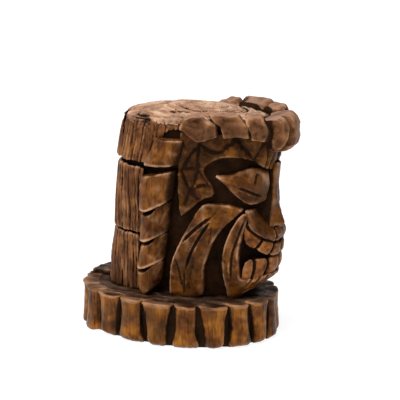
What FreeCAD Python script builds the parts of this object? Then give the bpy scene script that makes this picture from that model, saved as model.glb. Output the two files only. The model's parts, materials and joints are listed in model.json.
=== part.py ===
"""Carved tiki head on an oval plinth, a wooden tabletop piece built from glued and pegged parts.

Millimetres, +Z up, the face looks along -Y. The origin is the centre of the plinth's underside.
Every separate piece of wood is written to parts/NAME.step.
"""

import FreeCAD, Part
import math
import os

os.makedirs("parts", exist_ok=True)
Vector = FreeCAD.Vector

# ---- plinth --------------------------------------------------------------------------------------
PLINTH_LENGTH = 85.6        # front to back
PLINTH_WIDTH = 60.0
PLINTH_HEIGHT = 18.8
STAVE_COUNT = 20            # blocks of the rim, alternately wide ones that taper downward and
                            # narrow ones that flare at the foot
STAVE_WIDENING = 0.07       # how far a wide stave reaches beyond its equal share on either side
STAVE_DEPTH = 5.0           # from the slab's wall to the rim
STAVE_EDGE = 0.7            # chamfer on the rim's outer edges
STAVE_GAP_TOP = 1.1         # width of the slot between two staves at the top,
STAVE_GAP_MIDDLE = 2.6      # at half height,
STAVE_GAP_FOOT = 1.5        # and at the foot
STAVE_LEAN = 1.5            # sideways run of a slot from top to foot
STEP_HEIGHT = 3.2           # low ledge on the plinth behind the head
STEP_START = 0.5            # the ledge runs from here
STEP_END = 17.0             # to here across the plinth

# ---- head: heights are measured from the plinth's top ---------------------------------------------
HEAD_ROUNDNESS = 2.5        # exponent of the head's plan oval, 2 is an ellipse
HEAD_SECTIONS = (           # height, back, front, half width
    (0.0, 31.5, -33.0, 14.5),
    (5.0, 31.3, -36.0, 15.0),
    (10.0, 31.0, -42.3, 15.5),
    (16.0, 30.6, -44.6, 16.0),
    (23.0, 30.0, -45.4, 16.6),
    (30.0, 29.5, -44.6, 17.2),
    (36.0, 29.1, -41.6, 17.7),
    (45.0, 28.5, -40.5, 18.3),
    (54.0, 27.9, -41.8, 18.9),
    (62.0, 27.3, -44.4, 19.3),
    (70.0, 26.8, -45.5, 19.7),
    (84.0, 26.0, -45.5, 19.9),
)
CORE_DEPTH = 3.2            # the pieces of the outer layer are this thick where they lie flush
PANEL_DEPTH = 0.9           # the forehead and temples of the core stand this far under flush
CORE_TOP = 71.0             # the crown cap rests on the core here
CROWN_TOP = 81.2
CROWN_HALF_WIDTH = 28.0     # half sizes of the flattened ball that shapes the crown
CROWN_HALF_LENGTH = 50.0
CROWN_HALF_HEIGHT = 20.5
CROWN_MIDDLE = -8.0
DOWEL_DIAMETER = 6.0
DOWEL_DEPTH = 9.0           # into the plinth
DOWEL_RISE = 12.0           # into the head
DOWEL_PLACES = (14.0, -16.0)
SEAM = 0.5                  # open joint between neighbouring pieces
GROOVE_WIDTH = 0.8          # incised lines
GROOVE_DEPTH = 0.8

# ---- bark: three tiers, each one plate behind and one on each side --------------------------------
BARK_TIERS = (              # name, foot, top, front end of the side plates
    ("lower", 0.0, 25.6, 14.6),
    ("middle", 26.4, 56.2, 11.6),
    ("upper", 57.0, 76.0, -6.0),
)
BARK_SIDE_END = 22.0        # the rear plate starts here
BARK_BULGE = 0.9            # rounding of a plate between its foot and its top
BARK_GRAIN_STEP = 5.0       # distance between the grain splits of a side plate
REAR_SPLITS = (-9.0, -4.0, 1.5, 6.5)

# ---- headband knot ----------------------------------------------------------------------------------
KNOT_HALF_SIZES = (12.0, 13.0, 10.4)
KNOT_PLACE = -41.5
KNOT_HEIGHT = 73.6

# ---- braid: five overlapping strands down each side ------------------------------------------------
BRAID_STRANDS = (           # foot and top at the middle, place of the middle line, width
    (60.8, 69.6, -1.6, 14.0),
    (39.6, 54.8, 3.8, 14.4),
    (25.6, 39.0, 6.0, 13.2),
    (12.4, 25.0, 7.6, 12.4),
    (1.2, 11.8, 9.4, 11.6),
)
BRAID_THICKNESS = 6.4
BRAID_RISE = 2.6            # each end of a strand climbs this much toward the face
BRAID_SWELL = 1.12          # middle of a strand against its ends


def oval(height, grow):
    """Closed plan curve of the head at a height, moved outward by grow."""
    below = [row for row in HEAD_SECTIONS if row[0] <= height][-1]
    above = [row for row in HEAD_SECTIONS if row[0] >= height][0]
    span = above[0] - below[0]
    share = (height - below[0]) / span if span else 0.0
    back, front, half = [low + share * (high - low) for low, high in zip(below[1:], above[1:])]
    middle = (back + front) / 2
    reach = (back - front) / 2 + grow
    half += grow
    points = []
    for step in range(24):
        angle = math.tau * (step + 0.5) / 24
        across = math.copysign(abs(math.cos(angle)) ** (2 / HEAD_ROUNDNESS), math.cos(angle))
        along = math.copysign(abs(math.sin(angle)) ** (2 / HEAD_ROUNDNESS), math.sin(angle))
        points.append(Vector(half * across, middle + reach * along, PLINTH_HEIGHT + height))
    curve = Part.BSplineCurve()
    curve.interpolate(Points=points, PeriodicFlag=True)
    return Part.Wire([curve.toShape()])


def envelope(grow, low=0.0, high=84.0):
    """Solid of the whole head between two heights, moved outward by grow."""
    heights = [low] + [row[0] for row in HEAD_SECTIONS if low < row[0] < high] + [high]
    return Part.makeLoft([oval(height, grow) for height in heights], True, False)


def box(x_range, y_range, z_range):
    """Block between three pairs of limits; its heights count from the plinth's top."""
    corner = Vector(x_range[0], y_range[0], PLINTH_HEIGHT + z_range[0])
    size = [pair[1] - pair[0] for pair in (x_range, y_range, z_range)]
    return Part.makeBox(size[0], size[1], size[2], corner)


def side_prism(outline, x_range=(-40.0, 40.0), rounded=True):
    """Solid with this outline of (y, height) in side view, reaching across x_range."""
    points = [Vector(x_range[0], y, PLINTH_HEIGHT + height) for y, height in outline]
    if rounded:
        curve = Part.BSplineCurve()
        curve.interpolate(Points=points, PeriodicFlag=True)
        wire = Part.Wire([curve.toShape()])
    else:
        wire = Part.makePolygon(points + [points[0]])
    return Part.Face(wire).extrude(Vector(x_range[1] - x_range[0], 0, 0))


def front_prism(outline):
    """Solid with this outline of (x, height) in front view, reaching from the face to the core."""
    points = [Vector(x, -70.0, PLINTH_HEIGHT + height) for x, height in outline]
    return Part.Face(Part.makePolygon(points + [points[0]])).extrude(Vector(0, 50.0, 0))


def line_cutters(line, width, x_range):
    """Thin prisms along a line of (y, height) points in side view."""
    cutters = []
    for (y1, z1), (y2, z2) in zip(line, line[1:]):
        length = math.hypot(y2 - y1, z2 - z1)
        side_y = -(z2 - z1) / length * width / 2
        side_z = (y2 - y1) / length * width / 2
        corners = (
            (y1 + side_y, z1 + side_z),
            (y2 + side_y, z2 + side_z),
            (y2 - side_y, z2 - side_z),
            (y1 - side_y, z1 - side_z),
        )
        cutters.append(side_prism(corners, x_range, rounded=False))
    return cutters


def carve(solid, lines, floor, x_range=(-40.0, 40.0), width=GROOVE_WIDTH):
    """Incise side-view lines into a solid, down to the floor body."""
    cutters = []
    for line in lines:
        cutters += line_cutters(line, width, x_range)
    together = cutters[0].fuse(cutters[1:]) if len(cutters) > 1 else cutters[0]
    return solid.cut(together.cut(floor))


def mirrored(solid):
    """The same piece on the head's left."""
    return solid.mirror(Vector(0, 0, 0), Vector(1, 0, 0))


def biggest(shape):
    """The main solid of a cut result, without slivers."""
    return max(shape.Solids, key=lambda solid: solid.Volume)


def save(name, *solids):
    """Write one node, a single solid or a group of separate ones."""
    for solid in solids:
        if not solid.isValid() or solid.Volume <= 0:
            raise ValueError(name + " is not a valid solid")
    shape = solids[0] if len(solids) == 1 else Part.makeCompound(list(solids))
    shape.exportStep("parts/" + name + ".step")


def ellipse_block(length, width, height):
    """Upright elliptic cylinder standing at z = 0, its long axis along Y."""
    curve = Part.Ellipse(Vector(0, 0, 0), length / 2, width / 2)
    face = Part.Face(Part.Wire([curve.toShape()]))
    face.rotate(Vector(0, 0, 0), Vector(0, 0, 1), 90)
    return face.extrude(Vector(0, 0, height))


def slot_cutter(angle, lean):
    """Slot between two staves: a leaning, waisted prism through the rim at an ellipse angle."""
    half_length = PLINTH_LENGTH / 2
    half_width = PLINTH_WIDTH / 2
    place = Vector(half_width * math.cos(angle), half_length * math.sin(angle), 0)
    outward = Vector(math.cos(angle) / half_width, math.sin(angle) / half_length, 0).normalize()
    along = Vector(-outward.y, outward.x, 0)
    start = place - outward * (STAVE_DEPTH + 2)
    margin = 1.0

    def corner(sideways, height):
        return start + along * sideways + Vector(0, 0, height)

    left_top = corner(-STAVE_GAP_TOP / 2 - lean / 2, PLINTH_HEIGHT + margin)
    right_top = corner(STAVE_GAP_TOP / 2 - lean / 2, PLINTH_HEIGHT + margin)
    left_middle = corner(-STAVE_GAP_MIDDLE / 2 + lean / 4, PLINTH_HEIGHT * 0.45)
    right_middle = corner(STAVE_GAP_MIDDLE / 2 + lean / 4, PLINTH_HEIGHT * 0.45)
    left_foot = corner(-STAVE_GAP_FOOT / 2 + lean / 2, -margin)
    right_foot = corner(STAVE_GAP_FOOT / 2 + lean / 2, -margin)
    edges = (
        Part.Arc(left_top, left_middle, left_foot).toShape(),
        Part.makeLine(left_foot, right_foot),
        Part.Arc(right_foot, right_middle, right_top).toShape(),
        Part.makeLine(right_top, left_top),
    )
    return Part.Face(Part.Wire(edges)).extrude(outward * (STAVE_DEPTH + 4))


def make_plinth(dowels):
    """Slab with the dowel holes, the ring of staves and the ledge behind the head."""
    slab_length = PLINTH_LENGTH - 2 * STAVE_DEPTH
    slab_width = PLINTH_WIDTH - 2 * STAVE_DEPTH
    slab = ellipse_block(slab_length, slab_width, PLINTH_HEIGHT)
    save("plinth_slab", biggest(slab.cut(dowels)))

    rim = ellipse_block(PLINTH_LENGTH, PLINTH_WIDTH, PLINTH_HEIGHT)
    outer_edges = [edge for edge in rim.Edges if edge.isClosed() and edge.Length > PLINTH_WIDTH]
    rim = rim.makeChamfer(STAVE_EDGE, outer_edges).cut(slab)
    slots = []
    for index in range(STAVE_COUNT):
        side = -1 if index % 2 else 1
        angle = math.tau * (index + 0.5 + STAVE_WIDENING * side) / STAVE_COUNT
        slots.append(slot_cutter(angle, -STAVE_LEAN * side))
    staves = rim.cut(slots).Solids
    if len(staves) != STAVE_COUNT:
        raise ValueError("the rim did not fall into its staves")

    def turn_of(stave):
        half_step = math.pi / STAVE_COUNT
        return (math.atan2(stave.CenterOfMass.y, stave.CenterOfMass.x) + half_step) % math.tau

    for number, stave in enumerate(sorted(staves, key=turn_of), start=1):
        save("plinth_stave_%02d" % number, stave)

    ledge = ellipse_block(PLINTH_LENGTH - 3, PLINTH_WIDTH - 3, PLINTH_HEIGHT + STEP_HEIGHT)
    ledge = ledge.common(box((STEP_START, STEP_END), (0, 60), (0, STEP_HEIGHT)))
    save("rear_step", biggest(ledge.cut(envelope(BARK_BULGE + SEAM, 0.0, 10.0))))


def make_dowels():
    """Two pegs that hold the head on the plinth."""
    height = DOWEL_DEPTH + DOWEL_RISE
    foot = PLINTH_HEIGHT - DOWEL_DEPTH
    radius = DOWEL_DIAMETER / 2
    return [Part.makeCylinder(radius, height, Vector(0, place, foot)) for place in DOWEL_PLACES]


def flattened_ball(half_sizes, center):
    """Ellipsoid with these half sizes along X, Y and Z."""
    matrix = FreeCAD.Matrix()
    matrix.scale(*half_sizes)
    matrix.move(center)
    return Part.makeSphere(1.0).transformGeometry(matrix)


def crown_ball(grow):
    """Flattened ball whose top is the crown's dome, moved outward by grow."""
    half_sizes = (CROWN_HALF_WIDTH + grow, CROWN_HALF_LENGTH + grow, CROWN_HALF_HEIGHT + grow)
    center = Vector(0, CROWN_MIDDLE, PLINTH_HEIGHT + CROWN_TOP - CROWN_HALF_HEIGHT)
    return flattened_ball(half_sizes, center)


def make_core(dowels):
    """Inner block of the head with the carved forehead, temples and the hollow of the mouth."""
    core = envelope(-CORE_DEPTH, 0.0, CORE_TOP)
    panel_outline = (
        (-5.6, 36.0), (-5.6, 52.0), (-8.4, 72.0), (-60.0, 72.0), (-60.0, 60.0),
        (-37.0, 60.5), (-30.0, 63.0), (-22.0, 60.5), (-18.0, 54.0), (-20.5, 46.0), (-15.0, 43.2),
    )
    panel = envelope(-PANEL_DEPTH, 30.0, CORE_TOP).common(side_prism(panel_outline, rounded=False))
    core = core.fuse(panel)
    groove_floor = envelope(-PANEL_DEPTH - GROOVE_DEPTH, 30.0, 72.0)
    zigzag = (
        (-8.5, 60.5), (-14.5, 68.6), (-18.5, 65.0), (-23.5, 64.2),
        (-29.3, 70.6), (-35.0, 63.8), (-40.0, 68.0), (-60.0, 64.0),
    )
    lattice = (
        zigzag,
        ((-6.0, 59.5), (-17.6, 54.5)),
        ((-6.5, 50.5), (-12.0, 57.0)),
        ((-6.5, 44.5), (-15.5, 55.2)),
        ((-6.5, 55.5), (-18.5, 49.0)),
        ((-6.5, 48.0), (-15.0, 43.8)),
    )
    core = carve(core, lattice, groove_floor)
    hollow = ((-60.0, 16.5), (-60.0, 21.5), (-38.0, 25.0), (-33.2, 29.0), (-31.0, 24.0), (-30.6, 17.0))
    hollow_floor = envelope(-CORE_DEPTH - 3.0, 10.0, 40.0)
    core = core.cut(side_prism(hollow, rounded=False).cut(hollow_floor))
    core = core.removeSplitter()
    save("head_core", biggest(core.cut(dowels)))
    return core


def make_crown(core_layer):
    """Domed end-grain cap on the core."""
    cap = core_layer.common(box((-40, 40), (-70, 70), (CORE_TOP, 84.0))).common(crown_ball(0.0))
    cap = biggest(cap)
    rings = []
    for share in (0.35, 0.62):
        outer = ellipse_block(66 * share, 36 * share, 200)
        inner = ellipse_block(66 * share - 1.2, 36 * share - 1.2, 200)
        rings.append(outer.cut(inner).translate(Vector(0, CROWN_MIDDLE, 0)))
    rings = rings[0].fuse(rings[1]).cut(crown_ball(-GROOVE_DEPTH))
    save("crown_cap", biggest(cap.cut(rings)))


def make_bark(core_layer):
    """Nine plates: the rear plate and the two side plates of each tier, with split grain."""
    crown = crown_ball(0.4)
    for name, foot, top, end in BARK_TIERS:
        middle = (foot + top) / 2
        wires = [oval(foot, 0.0), oval(middle, BARK_BULGE), oval(top, 0.0)]
        layer = Part.makeLoft(wires, True, False).cut(core_layer)
        if name == "upper":
            layer = layer.common(crown)
        grain_floor = envelope(-GROOVE_DEPTH, foot - 0.01 if foot else 0.0, top)
        grain = []
        start = end + BARK_GRAIN_STEP * 0.6
        for index in range(8):
            place = start + index * BARK_GRAIN_STEP
            if place > BARK_SIDE_END - 1.5:
                break
            lean = 1.1 if index % 2 else -0.8
            grain.append(((place, foot - 1), (place + lean, middle), (place, top + 1)))
        cut_layer = carve(layer, grain, grain_floor, width=0.6) if grain else layer
        right = biggest(cut_layer.common(box((-40, 0), (end, BARK_SIDE_END), (foot, top))))
        rear = layer.common(box((-40, 40), (BARK_SIDE_END + SEAM, 60), (foot, top)))
        splits = [box((x - 0.3, x + 0.3), (0, 60), (foot - 1, top + 1)) for x in REAR_SPLITS]
        rear = rear.cut(splits[0].fuse(splits[1:]).cut(grain_floor))
        save("bark_" + name + "_right", right)
        save("bark_" + name + "_left", mirrored(right))
        save("bark_" + name + "_rear", biggest(rear))


def ellipse_wire(center, half_y, half_x, rise):
    """Leaning ellipse around a strand's middle line."""
    points = []
    for step in range(12):
        angle = math.tau * step / 12
        y = half_y * math.cos(angle)
        x = half_x * math.sin(angle)
        points.append(Vector(center.x + x, center.y + y, center.z - rise * y / half_y))
    curve = Part.BSplineCurve()
    curve.interpolate(Points=points, PeriodicFlag=True)
    return Part.Wire([curve.toShape()])


def make_braids(core):
    """Five leaning, swelling strands down the right side and their mirror images."""
    for number, (foot, top, place, width) in enumerate(BRAID_STRANDS, start=1):
        wires = []
        last = number == len(BRAID_STRANDS)
        for share, swell in ((0.0, 0.62 if last else 0.92), (0.5, BRAID_SWELL), (1.0, 0.86)):
            height = foot + share * (top - foot)
            half = [row[3] for row in HEAD_SECTIONS if row[0] <= height][-1]
            center = Vector(-half + 0.6, place - 1.0 * (share - 0.5), PLINTH_HEIGHT + height)
            rise = 0.3 if last and share == 0.0 else BRAID_RISE
            half_y = width / 2 * swell / BRAID_SWELL
            wires.append(ellipse_wire(center, half_y, BRAID_THICKNESS / 2 * swell, rise))
        strand = Part.makeLoft(wires, True, False)
        tier = [row for row in BARK_TIERS if row[1] <= (foot + top) / 2 <= row[2]][0]
        behind = envelope(BARK_BULGE + 0.2).common(box((-40, 40), (tier[3] - SEAM, 60), (-1, 84)))
        strand = strand.cut(core).cut(behind)
        strand = biggest(strand.common(box((-40, 40), (-60, 60), (0, 84))))
        save("braid_right_%d" % number, strand)
        save("braid_left_%d" % number, mirrored(strand))


def make_headband(core_layer, core):
    """Three leaves on each side of the brow and the knot in front."""
    leaves = (
        (
            (-4.2, 70.4), (-7.0, 77.5), (-12.0, 79.4), (-19.2, 80.6),
            (-19.0, 71.8), (-14.0, 69.6), (-8.5, 69.4),
        ),
        ((-19.9, 71.8), (-20.0, 81.0), (-25.0, 82.4), (-32.0, 82.0), (-32.6, 72.2), (-26.0, 70.6)),
        ((-33.2, 72.2), (-32.8, 81.8), (-37.0, 82.6), (-43.6, 80.6), (-43.9, 70.2), (-38.0, 70.6)),
    )
    veins = (
        ((-5.0, 73.0), (-12.0, 75.4), (-19.0, 77.5)),
        ((-20.5, 75.0), (-26.0, 77.4), (-32.0, 78.0)),
        ((-33.5, 75.5), (-38.0, 77.0), (-44.0, 76.0)),
    )
    growth = (2.2, 2.8, 3.4)
    knot_outline = ((-10.4, 60.0), (-8.6, 90.0), (8.6, 90.0), (10.4, 60.0))
    knot_gap = front_prism(((-11.0, 60.0), (-9.2, 90.0), (9.2, 90.0), (11.0, 60.0)))
    for number, (outline, vein, grow) in enumerate(zip(leaves, veins, growth), start=1):
        leaf = side_prism(outline, (-40.0, 0.0)).common(envelope(grow, 62.0, 84.0))
        leaf = leaf.cut(core_layer).cut(core).cut(knot_gap)
        leaf = biggest(carve(leaf, [vein], envelope(grow - GROOVE_DEPTH, 62.0, 84.0)))
        save("headband_leaf_right_%d" % number, leaf)
        save("headband_leaf_left_%d" % number, mirrored(leaf))
    side = (
        (-38.5, 66.6), (-38.0, 80.0), (-44.0, 81.8), (-50.0, 80.0),
        (-53.6, 74.5), (-52.0, 68.0), (-46.0, 65.2),
    )
    ball = flattened_ball(KNOT_HALF_SIZES, Vector(0, KNOT_PLACE, PLINTH_HEIGHT + KNOT_HEIGHT))
    knot = side_prism(side).common(front_prism(knot_outline)).common(ball)
    knot = knot.cut(core_layer).cut(core)
    for x in (-3.4, 2.6):
        groove = box((x - GROOVE_WIDTH / 2, x + GROOVE_WIDTH / 2), (-60, -40), (60, 84))
        knot = knot.cut(groove.cut(side_prism([(y + GROOVE_DEPTH, z) for y, z in side])))
    save("headband_knot", biggest(knot))


def make_face(core):
    """Eyes, nose, cheeks, lips and the two rows of teeth, each laid on the core."""
    nose_side = ((2.6, 58.6), (2.9, 46.0), (6.4, 36.0), (5.6, 31.4))
    gap_side = ((2.6 + SEAM, 60.0), (2.9 + SEAM, 46.0), (6.4 + SEAM, 36.2), (6.4 + SEAM, 30.0))
    nose = front_prism([(-x, z) for x, z in nose_side] + list(reversed(nose_side)))
    nose_gap = front_prism([(-x, z) for x, z in gap_side] + list(reversed(gap_side)))
    ridge = (
        (-30.0, 59.5), (-43.6, 58.0), (-43.2, 50.0), (-43.6, 41.0),
        (-46.0, 35.0), (-46.2, 31.0), (-30.0, 31.0),
    )
    save("nose", biggest(nose.common(side_prism(ridge, rounded=False)).cut(core)))

    eye_outline = (
        (-23.3, 54.0), (-27.0, 50.2), (-31.5, 45.6), (-36.7, 43.0), (-42.0, 43.4), (-45.0, 47.0),
        (-45.0, 53.0), (-41.0, 57.4), (-36.0, 58.6), (-29.7, 57.2),
    )
    lid = ((-33.0, 50.6), (-37.0, 48.4), (-40.4, 47.6), (-44.0, 49.0))
    mark = ((-37.5, 56.6), (-38.2, 53.2))
    eye = side_prism(eye_outline, (-40.0, 0.0)).common(envelope(1.3, 36.0, 70.0))
    eye = eye.cut(core).cut(nose_gap)
    eye = biggest(carve(eye, [lid, mark], envelope(1.3 - GROOVE_DEPTH, 36.0, 70.0)))
    save("eye_right", eye)
    save("eye_left", mirrored(eye))

    cheek_outline = (
        (-17.3, 41.4), (-25.0, 42.4), (-32.0, 40.9), (-26.9, 34.1), (-21.4, 26.5), (-17.8, 16.7),
        (-14.6, 0.0), (-7.5, 0.0), (-0.7, 0.0), (-1.3, 13.3), (-2.3, 20.1), (-9.5, 31.0),
    )
    veins = (
        ((-22.6, 37.6), (-16.4, 31.0), (-11.0, 23.0)),
        ((-23.0, 35.8), (-17.4, 26.4), (-12.4, 13.6)),
        ((-2.6, 18.0), (-7.8, 8.0), (-8.2, 0.5)),
        ((-8.6, 8.4), (-13.0, 18.6)),
    )
    cheek = side_prism(cheek_outline, (-40.0, 0.0), rounded=False)
    cheek = cheek.common(envelope(0.9, 0.0, 50.0)).cut(core)
    cheek = biggest(carve(cheek, veins, envelope(0.9 - GROOVE_DEPTH, 0.0, 50.0)))
    save("cheek_right", cheek)
    save("cheek_left", mirrored(cheek))

    lip_body = envelope(1.0, 0.0, 50.0)
    teeth_body = envelope(-0.3, 0.0, 50.0)
    upper_lip = (
        (-34.6, 38.0), (-38.2, 35.9), (-43.0, 31.0), (-60.0, 29.6), (-60.0, 24.6), (-44.6, 25.4),
        (-40.6, 29.2), (-34.8, 33.4),
    )
    upper_lip = side_prism(upper_lip, rounded=False).common(lip_body).cut(core)
    save("upper_lip", biggest(upper_lip.cut(nose_gap)))
    lower_lip = (
        (-33.6, 36.4), (-31.0, 33.4), (-28.2, 27.6), (-24.1, 19.8), (-23.0, 12.0), (-24.0, 5.0),
        (-26.8, 0.0), (-29.6, 0.0), (-33.0, 3.6), (-37.0, 6.6), (-60.0, 8.4), (-60.0, 11.6),
        (-41.0, 11.4), (-36.6, 10.4), (-30.4, 8.8), (-29.4, 17.6), (-31.0, 26.1), (-34.0, 32.4),
    )
    lower_lip = side_prism(lower_lip, rounded=False).common(lip_body).cut(core)
    band = ((-32.4, 34.4), (-29.6, 27.0), (-26.6, 19.2), (-26.2, 12.0), (-27.6, 5.0))
    lower_lip = carve(lower_lip, [band], envelope(1.0 - GROOVE_DEPTH, 0.0, 50.0))
    save("lower_lip", biggest(lower_lip))

    upper_teeth = (
        (-34.4, 32.6), (-40.5, 28.6), (-44.8, 24.6), (-60.0, 24.0),
        (-60.0, 19.0), (-43.0, 20.6), (-38.0, 24.2), (-33.4, 28.2),
    )
    upper_cuts = [((y, 40.0), (y + 1.2, 15.0)) for y in (-36.4, -39.6, -42.4)]
    upper_teeth = side_prism(upper_teeth, rounded=False).common(teeth_body).cut(core)
    upper_teeth = carve(upper_teeth, upper_cuts, envelope(-0.3 - GROOVE_DEPTH, 0.0, 50.0), width=0.6)
    save("upper_teeth", biggest(upper_teeth))
    lower_teeth = (
        (-30.2, 17.4), (-37.0, 18.0), (-60.0, 17.6), (-60.0, 12.2),
        (-41.0, 12.0), (-36.6, 11.0), (-31.0, 9.6),
    )
    lower_cuts = [((y, 19.0), (y + 0.8, 9.0)) for y in (-33.6, -37.4, -40.8)]
    lower_teeth = side_prism(lower_teeth, rounded=False).common(teeth_body).cut(core)
    lower_teeth = carve(lower_teeth, lower_cuts, envelope(-0.3 - GROOVE_DEPTH, 0.0, 50.0), width=0.6)
    save("lower_teeth", biggest(lower_teeth))


def main():
    dowels = make_dowels()
    core_layer = envelope(-CORE_DEPTH)
    save("head_dowels", *dowels)
    make_plinth(dowels)
    core = make_core(dowels)
    make_crown(core_layer)
    make_bark(core_layer)
    make_braids(core)
    make_headband(core_layer, core)
    make_face(core)


main()
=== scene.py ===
"""Carved wooden tiki head on an oval plinth with a fluted rim.

Each piece is sculpted as a distance field on a small grid round its CAD node, skinned to a mesh, and
given wood grain as real relief. Sculpting is in millimetres, in the CAD model's own frame.
"""
import json
import math

import bpy
import numpy as np
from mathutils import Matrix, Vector


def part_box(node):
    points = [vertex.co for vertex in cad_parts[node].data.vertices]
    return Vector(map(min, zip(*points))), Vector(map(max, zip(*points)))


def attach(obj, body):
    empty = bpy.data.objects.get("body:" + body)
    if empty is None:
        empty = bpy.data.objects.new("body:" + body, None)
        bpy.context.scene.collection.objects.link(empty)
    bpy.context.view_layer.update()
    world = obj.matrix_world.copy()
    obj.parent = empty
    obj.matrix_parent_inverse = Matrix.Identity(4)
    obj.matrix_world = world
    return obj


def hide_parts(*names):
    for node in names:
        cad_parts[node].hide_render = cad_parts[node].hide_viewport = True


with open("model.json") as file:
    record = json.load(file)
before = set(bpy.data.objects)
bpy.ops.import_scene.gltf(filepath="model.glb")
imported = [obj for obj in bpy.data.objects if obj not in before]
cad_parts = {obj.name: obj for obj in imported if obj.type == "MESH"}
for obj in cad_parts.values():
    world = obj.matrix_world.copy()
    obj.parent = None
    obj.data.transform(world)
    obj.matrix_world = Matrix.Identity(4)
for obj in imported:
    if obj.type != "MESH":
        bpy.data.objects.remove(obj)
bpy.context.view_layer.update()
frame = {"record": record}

MM = 0.001
STEP = 0.36      # distance between grid points
TOP = 18.8                              # height of the plinth's top
HEAD_ROUNDNESS = 2.5                    # power of the head's plan oval, where 2 would be an ellipse
HEAD_SECTIONS = (                       # height over the plinth, back, front, half width
    (-6, 31.6, -32, 14.4),
    (0, 31.5, -33, 14.5),
    (5, 31.3, -36, 15),
    (10, 31, -42.3, 15.5),
    (16, 30.6, -44.6, 16),
    (23, 30, -45.4, 16.6),
    (30, 29.5, -44.6, 17.2),
    (36, 29.1, -41.6, 17.7),
    (45, 28.5, -40.5, 18.3),
    (54, 27.9, -41.8, 18.9),
    (62, 27.3, -44.4, 19.3),
    (70, 26.8, -45.5, 19.7),
    (90, 26, -45.5, 19.9),
)
RIM_HALF_LENGTH = 42.8
RIM_HALF_WIDTH = 30.0
STAVE_COUNT = 20
STAVE_DEPTH = 5.0
STAVE_PAIR = 26.9                       # rim length of two staves amid the long side, where widths are given
STAVE_HALF = 3.9                        # half width that a stave's widening is added to
CORE_TOP = 75.0                         # this and the next four: heights over the plinth
CROWN_FOOT = 69.0
LEAF_TOP = 83.0
NOSE_TOP = 59.4
NOSE_TIP = 31.2
CROWN_INSET = 2.6                       # how far the crown's side stays inside the flush surface
BARK_DEPTH = 3.9                        # how far the bark reaches under the flush surface
LEAF_DEPTH = 8.4                        # the same for the leaves
SEAT_DEPTH = 4.4                        # the same for strands, face pieces and nose
PAINTED_SHADE_SETS_IN = (0.9, 2.4)               # depths under the flush surface between which the painted shade in gaps and recesses grows full
BARK_TIERS = {                          # foot, top, how far it stands out, its taper, depth of its grain
    "lower": (0.0, 25.0, 1.1, 1.0, 0.6),
    "middle": (26.3, 55.2, 0.7, 1.0, 0.7),
    "upper": (57.8, 78.0, 0.7, 3.0, 0.85),
}
SLOTS = {row["node"]: row["material_slot"] for row in frame["record"]["subparts"]}


# ---- fields ----
def smooth_max(a, b, soft):
    """The larger of two fields, with the corner between them rounded."""
    share = np.clip(0.5 + 0.5 * (a - b) / soft, 0, 1)
    return b + (a - b) * share + soft * share * (1 - share)


def carved(field, *cuts):
    """A field cut back by others, each given with the roundness of the edge that it leaves."""
    for other, soft in cuts:
        field = smooth_max(field, other, soft)
    return field


def ramp(value, low, high):
    """0 below low, 1 above high, smooth between."""
    share = np.clip((value - low) / (high - low), 0, 1)
    return share * share * (3 - 2 * share)


def thin(value, sharpness=1.0):
    """1 where a value is zero, falling straight to 0 on both sides."""
    return np.clip(1 - sharpness * np.abs(value), 0, 1)


def lattice_value(xi, yi, zi, seed):
    """Repeatable random number from -1 to 1 for each whole-number point."""
    number = xi.astype(np.uint32) * np.uint32(374761393) + yi.astype(np.uint32) * np.uint32(668265263)
    number = number + zi.astype(np.uint32) * np.uint32(2246822519) + np.uint32(seed * 3266489917 % 2**32)
    number = (number ^ (number >> np.uint32(13))) * np.uint32(1274126177)
    number = number ^ (number >> np.uint32(16))
    return (number & np.uint32(65535)).astype(np.float32) / 32767.5 - 1


def corner_weights(part):
    """Offset and weight of each corner of a grid cell, for points that lie this far along its sides."""
    for corner in range(8):
        offset = [(corner >> axis) & 1 for axis in range(3)]
        weight = 1.0
        for axis in range(3):
            weight = weight * (part[axis] if offset[axis] else 1 - part[axis])
        yield offset, weight


def noise(x, y, z, seed):
    """Smooth value noise, one lump a unit."""
    x, y, z = np.broadcast_arrays(x, y, z)
    whole = [np.floor(axis) for axis in (x, y, z)]
    part = [axis - floor for axis, floor in zip((x, y, z), whole)]
    part = [share * share * (3 - 2 * share) for share in part]
    base = [floor.astype(np.int64) for floor in whole]
    total = 0.0
    for offset, weight in corner_weights(part):
        total = total + weight * lattice_value(*(floor + step for floor, step in zip(base, offset)), seed)
    return total


def rounded(points, times, closed=True):
    """Corner cutting: the same outline with its corners rounded off."""
    points = [tuple(point) for point in points]
    for _ in range(times):
        pairs = list(zip(points, points[1:] + points[:1])) if closed else list(zip(points, points[1:]))
        softer = []
        for (a, b), (c, d) in pairs:
            softer.append((0.75 * a + 0.25 * c, 0.75 * b + 0.25 * d))
            softer.append((0.25 * a + 0.75 * c, 0.25 * b + 0.75 * d))
        points = softer if closed else [points[0]] + softer[1:-1] + [points[-1]]
    return points


def outline_distance(points, u, v):
    """Signed distance to a closed outline in two coordinates, negative inside."""
    u, v = np.broadcast_arrays(u, v)
    nearest = np.full(u.shape, 1e9)
    inside = np.zeros(u.shape, bool)
    for (u1, v1), (u2, v2) in zip(points, points[1:] + points[:1]):
        du, dv = u2 - u1, v2 - v1
        share = np.clip(((u - u1) * du + (v - v1) * dv) / (du * du + dv * dv + 1e-12), 0, 1)
        nearest = np.minimum(nearest, (u - u1 - share * du) ** 2 + (v - v1 - share * dv) ** 2)
        if dv:
            inside ^= ((v1 <= v) != (v2 <= v)) & (u < u1 + (v - v1) / dv * du)
    return np.where(inside, -1, 1) * np.sqrt(nearest)


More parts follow.
